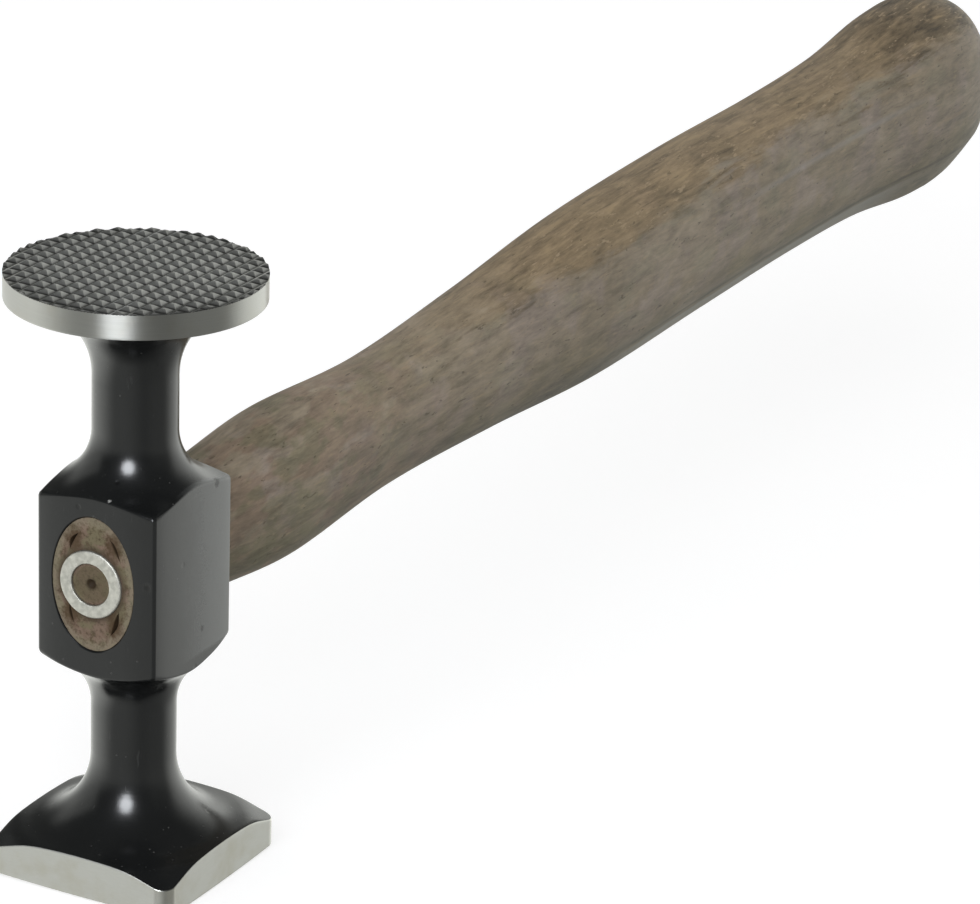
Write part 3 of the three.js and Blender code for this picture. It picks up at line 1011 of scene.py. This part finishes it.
def make_hickory():
    """Hickory stained grey brown: long grain on the sides, and end grain on the tenon's face."""
    wood = Finish("stained_hickory", Metallic=0.0, IOR=1.46, Specular_IOR_Level=0.22)
    place = wood.object_mm()
    along, across, up = wood.axes(place)
    step = wood.step

    def grain(length, width, detail, rough, distortion=0.0, shift=(0.0, 0.0, 0.0)):
        """A noise that is drawn out along the handle."""
        drawn_out = wood.stretched(place, (length, width, width), shift=shift)
        return wood.noise(drawn_out, 1.0, detail, rough, distortion)

    # Noises that follow the grain, from broad figure to fine fibres
    figure = grain(0.030, 0.13, 5.0, 0.62, 0.8)
    mottle = grain(0.11, 0.34, 4.0, 0.62, 0.4, (17.0, 3.0, 40.0))
    streaks = grain(0.075, 0.80, 4.0, 0.65, 0.5)
    fibres = grain(0.40, 2.2, 4.0, 0.7)
    flecks = grain(0.24, 0.95, 3.0, 0.7, 0.0, (31.0, 7.0, 3.0))
    patches = grain(0.10, 0.20, 3.0, 0.6, 0.0, (71.0, 13.0, 5.0))
    tints = grain(0.07, 0.18, 3.0, 0.6, 0.0, (5.0, 50.0, 9.0))
    pore = step(grain(0.34, 1.25, 2.0, 0.6, 0.3, (2.0, 60.0, 11.0)), 0.345, 0.275)
    blotches = wood.noise(place, 0.075, 4.0, 0.6)

    # Stain: grey brown, violet grey in patches, olive below and darker there as painted shade, russet behind the
    # head, golden along the top
    behind = step(along, 110.0, 40.0)
    colour = wood.layered(
        wood.blend(step(figure, 0.40, 0.62), brown_stain, pale_stain),
        (step(blotches, 0.48, 0.60) * 0.8, violet_stain),
        (step(tints, 0.52, 0.64) * 0.5, olive_stain),
        (step(up + (tints - 0.5) * 22.0, 51.0, 38.0) * 0.8, low_olive_and_shade),
        (behind * step(tints, 0.44, 0.54) * 0.6, russet_stain),
        (behind * step(patches, 0.52, 0.42) * 0.55, green_stain),
    )
    # Painted light: the top behind the head is made lighter, to undo the shadow that the head casts there
    painted_light_behind_head = step(up, 47.0, 60.0) * step(along, 135.0, 70.0)
    colour = wood.scaled(colour, 1.0 + 0.30 * painted_light_behind_head)
    gold_from = 57.5 + along * 0.024 + (figure - 0.5) * 16.0 + (streaks - 0.5) * 9.0
    gold = step(up - gold_from, -2.0, 2.5) * step(along, 70.0, 130.0)
    colour = wood.blend(gold * 0.85, colour, golden_stain)

    # Tone by mottle, streaks and fibres, darker towards the knob, and darker along the keel of the waist as
    # painted shade
    shade = 1.0 + (mottle - 0.5) * 1.3 + (streaks - 0.5) * (0.6 + 0.8 * gold) + (fibres - 0.5) * 0.6
    shade = shade - 0.40 * step(up, 44.0, 38.0) * wood.between(along, 60.0, 100.0, 135.0, 160.0)
    shade = shade - (0.04 + 0.36 * gold) * step(along, 250.0, 285.0) - 0.05 * behind
    shade = shade + 0.09 * step(up, 56.0, 50.0) * wood.between(along, 130.0, 165.0, 215.0, 245.0)

    # The soft ridges: a dark line with a light strip under it painted as a reflection, and a faint painted
    # highlight nearer the top
    level = up - eye_centre_height - step(along, 90.0, 190.0) * 1.5
    along_grip = step(along, 135.0, 170.0)
    reflection_strip = step(level + (streaks - 0.5) * 1.5, -11.2, -12.2) * along_grip * step(along, 285.0, 255.0)
    line = step(abs(level + 10.5 - (figure - 0.5) * 1.5), 0.75, 0.15) * along_grip * step(along, 306.0, 292.0)
    ridge = step(abs(level - 5.0), 1.0, 0.1) * wood.between(along, 185.0, 212.0, 255.0, 285.0)
    colour = wood.layered(
        wood.scaled(colour, shade),
        (step(streaks, 0.42, 0.30) * (0.2 + 0.14 * gold), dark_streak),
        (step(streaks, 0.58, 0.72) * (0.2 + 0.5 * gold), light_streak),
        (step(flecks, 0.58, 0.70) * (0.25 + 0.5 * gold), pale_fleck),
        (pore * 0.5, open_pore),
        (reflection_strip * 0.5, strip_reflection_grey),
        (line * 0.5, ridge_line_dark),
        (ridge * 0.3, faint_ridge_highlight),
    )

    # End grain: russet and olive by turns, pale at the eye's edge as a painted highlight, dark round the ring,
    # dark in the lathe's mark and inside the splits as painted shade, and stained dark about the splits
    end = step(along, tenon_face + 2.4, tenon_face + 2.1)
    from_ring = ((across - ring_across) ** 2 + (up - ring_up) ** 2) ** 0.5
    wide = ((across - eye_shift) / eye_half_width) ** 2
    oval = (wide + ((up - eye_centre_height) / eye_half_height) ** 2) ** 0.5
    coarse = wood.noise(place, 0.32, 3.0, 0.6)
    broken = wood.noise(place, 0.8, 4.0, 0.7)
    dots = wood.noise(place, 2.2, 3.0, 0.65)
    cut = wood.layered(
        wood.blend(step(coarse, 0.42, 0.58), end_olive, end_russet),
        (step(broken, 0.52, 0.36) * 0.75, end_dark),
        (step(oval + (broken - 0.5) * 0.35, 0.80, 0.94) * 0.6, end_rim_highlight),
        (step(from_ring, 6.7, 5.5) * step(from_ring, 3.0, 3.5) * 0.75, dark_round_ring),
        (step(from_ring, 3.3, 2.6) * 0.75, end_core),
        (step(from_ring + (broken - 0.5) * 1.2, 1.3, 0.5), centre_painted_shade),
        (step(dots, 0.5, 0.36) * 0.4, end_dots),
    )
    for split_across, split_up in split_stains:
        away = ((across - split_across) ** 2 + ((up - split_up) * 0.7) ** 2) ** 0.5
        cut = wood.blend(step(away + (broken - 0.5) * 2.6, 2.3, 0.6) * 0.85, cut, split_stain)
    # Painted shade: below the tenon's face, in the splits and the lathe's mark, the wood is darkened
    inside = step(along, tenon_face + 0.03, tenon_face + 0.25)
    cut = wood.blend(inside * 0.85, cut, split_painted_shade)
    colour = wood.blend(end, colour, cut)

    rough = 0.46 + 0.10 * fibres + 0.06 * blotches + 0.16 * end
    height = fibres * 0.5 + streaks * 0.4 + mottle * 0.5 - pore * 0.5 + end * (dots * 0.8 + broken * 1.4)
    return wood.feed(Base_Color=colour, Roughness=rough, Normal=wood.bump(height, 0.4, 0.00014))


hickory = make_hickory()
handle = grown("hickory_handle", shaved_tree(hickory), {"Facets": handle_facets}, sections_mesh())
handle.data.materials.clear()
handle.data.materials.append(hickory)
handle.data.polygons.foreach_set("material_index", np.zeros(len(handle.data.polygons), np.int32))

# The ring's slot, and the cone that the lathe's centre left in the middle of the tenon's face
slot_gap = 0.03
slot_end_gap = 0.2
slot_straight = 0.1
cutter_reach = 2.0
centre_depth = 1.2
centre_base = 2.2
cutter_front = -block_half[0] - cutter_reach
slot_profile = [
    (ring_bore - slot_gap, cutter_front),
    (ring_outer + slot_gap, cutter_front),
    (ring_outer + slot_gap, -block_half[0] - slot_straight),
    (ring_outer_end + slot_gap, ring_back + slot_end_gap),
    (ring_bore - slot_gap, ring_back + slot_end_gap),
]
centre_profile = [(0, cutter_front), (centre_base, cutter_front), (0, tenon_face + centre_depth)]
cut_away(handle, turned_piece("slot", slot_profile, ring_facets))
cut_away(handle, turned_piece("centre", centre_profile, 48))

# Four splits that the ring opened in the end grain, each with (across, up) points along it and its width.
# Points that their cuts leave closer together than seam_reach are merged afterwards.
splits = (
    (((2.9, 58.2), (3.9, 57.2), (4.4, 56.2), (4.5, 55.0)), 0.65),
    (((-2.5, 58.2), (-3.2, 57.4), (-3.8, 56.2), (-4.6, 54.6)), 0.55),
    (((4.6, 46.4), (4.5, 45.2), (4.2, 44.0), (3.6, 43.0)), 0.5),
    (((-4.2, 46.8), (-3.9, 45.2), (-3.5, 43.8), (-2.7, 42.3)), 0.85),
)
split_depth = 0.9
split_overshoot = 1.0
seam_reach = 0.005


def split_cutter(points, width):
    """A V-shaped gash in the tenon's face along its points, widest and deepest in its middle."""
    count = 9
    shares = np.linspace(0, 1, count)
    known = np.linspace(0, 1, len(points))
    line = np.stack([np.interp(shares, known, [p[i] for p in points]) for i in (0, 1)], -1)
    line[1:-1] = (line[:-2] + 2 * line[1:-1] + line[2:]) / 4
    ways = np.gradient(line, axis=0)
    ways /= np.linalg.norm(ways, axis=1)[:, None]
    sides = np.stack([-ways[:, 1], ways[:, 0]], -1)
    half = np.maximum(width / 2 * np.sin(math.pi * shares) ** 0.7, 0.02)
    above = tenon_face - split_overshoot
    places = []
    for centre, side, reach in zip(line, sides, half):
        widened = reach * (1 + split_overshoot / split_depth)
        places.append((above, *(centre - side * widened)))
        places.append((above, *(centre + side * widened)))
        places.append((tenon_face + split_depth * reach / half.max(), *centre))
    faces = [(0, 1, 2), (3 * count - 3, 3 * count - 1, 3 * count - 2)]
    for i in range(count - 1):
        for a, b in ((0, 1), (1, 2), (2, 0)):
            faces.append((3 * i + a, 3 * i + 3 + a, 3 * i + 3 + b, 3 * i + b))
    return piece_from("split", mended(mesh_of("split", np.array(places), faces), outward=True))


for points, width in splits:
    cut_away(handle, split_cutter(points, width))
mended(handle.data, merge=seam_reach, slivers=True)
smooth_with_edges(handle, math.radians(35))
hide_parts("handle")
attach(handle, "root")


# The studio: a white floor and sky, and two round softboxes high on the left of the camera, a small one that the
# lacquer mirrors and a broad one for the soft light on everything. A tent that only mirrors show is dim, with a
# low band and cards on its sides, so that the lacquer and the steel have shapes to reflect.
camera_at = (-0.5919399, -0.3699242, 0.3365739)
camera_turn, camera_fall, camera_roll = (math.radians(a) for a in (62.4187, 20.9531, 1.9040))
camera_lens, sensor_width = 180.54, 36.0
camera_side = -148.0
lamp_at = Vector((-0.953, -0.260, 0.588))
lamp_aim = Vector((0.0, 0.0, 0.055))
lamp_colour = (0.92, 0.955, 1.0)
small_width, small_power = 0.51, 11.8
broad_width, broad_power = 1.1, 8.5
floor_half = 6.0
floor_grey = (0.5, 0.5, 0.5, 1)
floor_glow = 0.66
sky_light = 0.60
tent_radius = 4.0
tent_colour = (0.982, 1.0, 0.955, 1)
tent_dimness = 0.08
low_band = (-1.0, -0.75, -0.1, 0.25)
low_band_light = 0.26
right_band = (-0.8, -0.05, 0.2, 0.75)
# Each card's brightness, its degrees round from the camera's side, the cosines between which it fades in, and
# the four heights, in shares of the tent's radius, between which it rises and falls
cards = (
    (0.34, -60.0, (0.1, 0.95), low_band),
    (1.25, -135.0, (0.15, 0.9), (-0.95, -0.7, -0.5, 0.35)),
    (1.4, 130.0, (0.65, 1.0), right_band),
    (0.15, 100.0, (0.2, 0.7), right_band),
    (0.9, 170.0, (0.92, 0.985), (0.02, 0.30, 0.32, 0.42)),
    (0.6, -117.0, (0.78, 0.95), (0.0, 0.2, 0.4, 0.6)),
)


def place_camera():
    away = Vector((math.sin(camera_turn), math.cos(camera_turn), 0))
    right = Vector((math.cos(camera_turn), -math.sin(camera_turn), 0))
    ahead = away * math.cos(camera_fall) - Vector((0, 0, 1)) * math.sin(camera_fall)
    above = Vector((0, 0, 1)) * math.cos(camera_fall) + away * math.sin(camera_fall)
    right, above = (
        right * math.cos(camera_roll) + above * math.sin(camera_roll),
        above * math.cos(camera_roll) - right * math.sin(camera_roll),
    )
    camera = bpy.data.objects.new("camera", bpy.data.cameras.new("camera"))
    camera.data.lens = camera_lens
    camera.data.sensor_width = sensor_width
    camera.data.clip_start = 0.05
    camera.data.clip_end = 50.0
    turn = Matrix((right, above, -ahead)).transposed().to_4x4()
    camera.matrix_world = Matrix.Translation(camera_at) @ turn
    bpy.context.scene.collection.objects.link(camera)
    bpy.context.scene.camera = camera


def place_lamp(name, width, power):
    lamp = bpy.data.objects.new(name, bpy.data.lights.new(name, "AREA"))
    lamp.data.shape = "DISK"
    lamp.data.size = width
    lamp.data.energy = power
    lamp.data.color = lamp_colour
    turn = (lamp_aim - lamp_at).to_track_quat("-Z", "Y").to_matrix().to_4x4()
    lamp.matrix_world = Matrix.Translation(lamp_at) @ turn
    lamp.visible_camera = False
    bpy.context.scene.collection.objects.link(lamp)
    return lamp


class Backdrop(Nodes):
    """A material that is being made without a Principled shader."""

    def __init__(self, name):
        self.material = bpy.data.materials.new(name)
        self.material.use_nodes = True
        super().__init__(self.material.node_tree)
        self.tree.nodes.remove(self.tree.nodes["Principled BSDF"])

    def surfaced(self, shader):
        feed(self.tree, self.tree.nodes["Material Output"].inputs["Surface"], shader)
        return self.material


def make_white_floor():
    """A grey that takes the object's shadow, and a glow on it that only the camera sees."""
    paper = Backdrop("white_floor")
    camera_ray = paper.node("ShaderNodeLightPath", output="Is Camera Ray")
    grey = paper.node("ShaderNodeBsdfDiffuse", None, {"Color": floor_grey})
    white = {"Color": (1, 1, 1, 1), "Strength": camera_ray * floor_glow}
    glow = paper.node("ShaderNodeEmission", None, white)
    return paper.surfaced(paper.node("ShaderNodeAddShader", None, {0: grey, 1: glow}))


def make_tent_cloth():
    """Dim cloth, with a low band of light all round and the cards on its sides."""
    cloth = Backdrop("tent_cloth")
    way = cloth.vector("NORMALIZE", cloth.node("ShaderNodeTexCoord", output="Object"))
    level_way = cloth.vector("NORMALIZE", cloth.vector("MULTIPLY", way, (1, 1, 0)))
    height = cloth.axes(way)[2]
    glow = tent_dimness + low_band_light * cloth.between(height, *low_band)
    for brightness, side, spread, band in cards:
        turned = math.radians(camera_side + side)
        middle = (math.cos(turned), math.sin(turned), 0)
        facing = cloth.vector("DOT_PRODUCT", level_way, middle, output=1)
        glow = glow + brightness * cloth.step(facing, *spread) * cloth.between(height, *band)
    return cloth.surfaced(cloth.node("ShaderNodeEmission", None, {"Color": tent_colour, "Strength": glow}))


place_camera()
place_lamp("softbox", small_width, small_power).visible_diffuse = False
place_lamp("broad_softbox", broad_width, broad_power).visible_glossy = False

floor_corners = [(x * floor_half, y * floor_half, 0) for x, y in ((-1, -1), (1, -1), (1, 1), (-1, 1))]
floor_mesh = bpy.data.meshes.new("floor")
floor_mesh.from_pydata(floor_corners, [], [(0, 1, 2, 3)])
floor = piece_from("floor", floor_mesh)
floor.data.materials.append(make_white_floor())
floor.visible_glossy = False

tent_mesh = bpy.data.meshes.new("tent")
made = bmesh.new()
bmesh.ops.create_uvsphere(made, u_segments=64, v_segments=32, radius=tent_radius)
made.to_mesh(tent_mesh)
made.free()
tent = piece_from("tent", tent_mesh)
tent.data.materials.append(make_tent_cloth())
tent.visible_camera = False
tent.visible_diffuse = False
tent.visible_shadow = False
tent.visible_volume_scatter = False

world = bpy.data.worlds.new("white_sky")
bpy.context.scene.world = world
world.use_nodes = True
sky = Nodes(world.node_tree)
rays = ("Is Camera Ray", "Is Glossy Ray", "Is Transmission Ray")
seen, mirrored, passed = (sky.node("ShaderNodeLightPath", output=ray) for ray in rays)
white = seen.maths("MAXIMUM", mirrored.maths("MAXIMUM", passed))
background = world.node_tree.nodes["Background"]
background.inputs["Color"].default_value = (1, 1, 1, 1)
feed(world.node_tree, background.inputs["Strength"], sky_light + (1 - sky_light) * white)

bpy.context.scene.view_settings.view_transform = "Standard"
